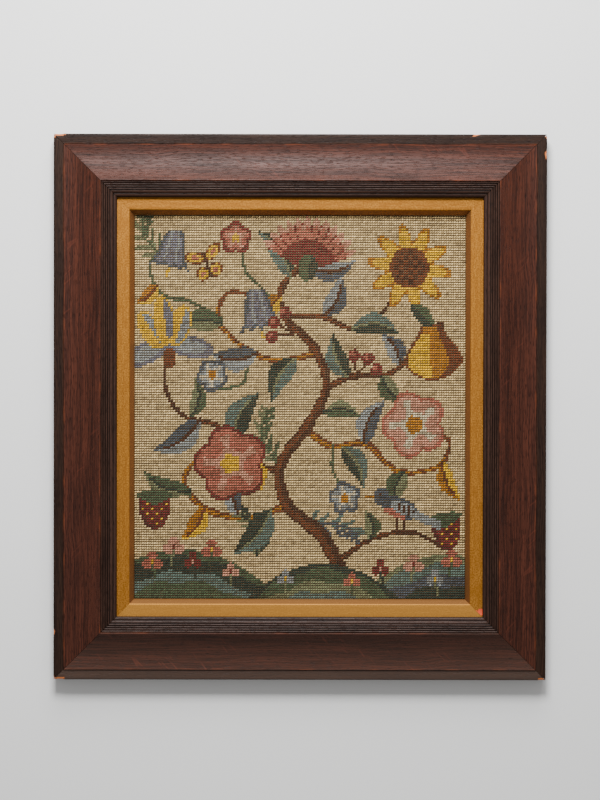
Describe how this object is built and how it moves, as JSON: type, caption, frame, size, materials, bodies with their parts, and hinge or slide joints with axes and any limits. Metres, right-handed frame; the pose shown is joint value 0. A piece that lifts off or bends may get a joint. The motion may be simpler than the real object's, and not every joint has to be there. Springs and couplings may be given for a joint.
{
  "type": "framed needlepoint",
  "caption": "Needlepoint picture of wool stitches on canvas, stretched on a board in a gilt slip and a wide mitred oak frame with reeded inner edge, lying on its back.",
  "frame": {"origin": "middle of the back of the frame, on the surface it lies on", "axes": "+X across the picture to its right, +Y up the picture, +Z out of its face"},
  "size_m": [0.52, 0.576, 0.0302],
  "materials": {
    "stained_oak": "dark stained and waxed oak, satin",
    "gilt": "gold finish on gessoed wood, satin",
    "wool_needlepoint": "wool tent stitch on canvas, matt",
    "backing_board": "plain board, matt"
  },
  "bodies": {
    "root": {"rail_bottom": "stained_oak", "rail_right": "stained_oak", "rail_top": "stained_oak", "rail_left": "stained_oak", "slip_bottom": "gilt", "slip_right": "gilt", "slip_top": "gilt", "slip_left": "gilt", "needlepoint": "wool_needlepoint", "backing_board": "backing_board"}
  },
  "joints": []
}
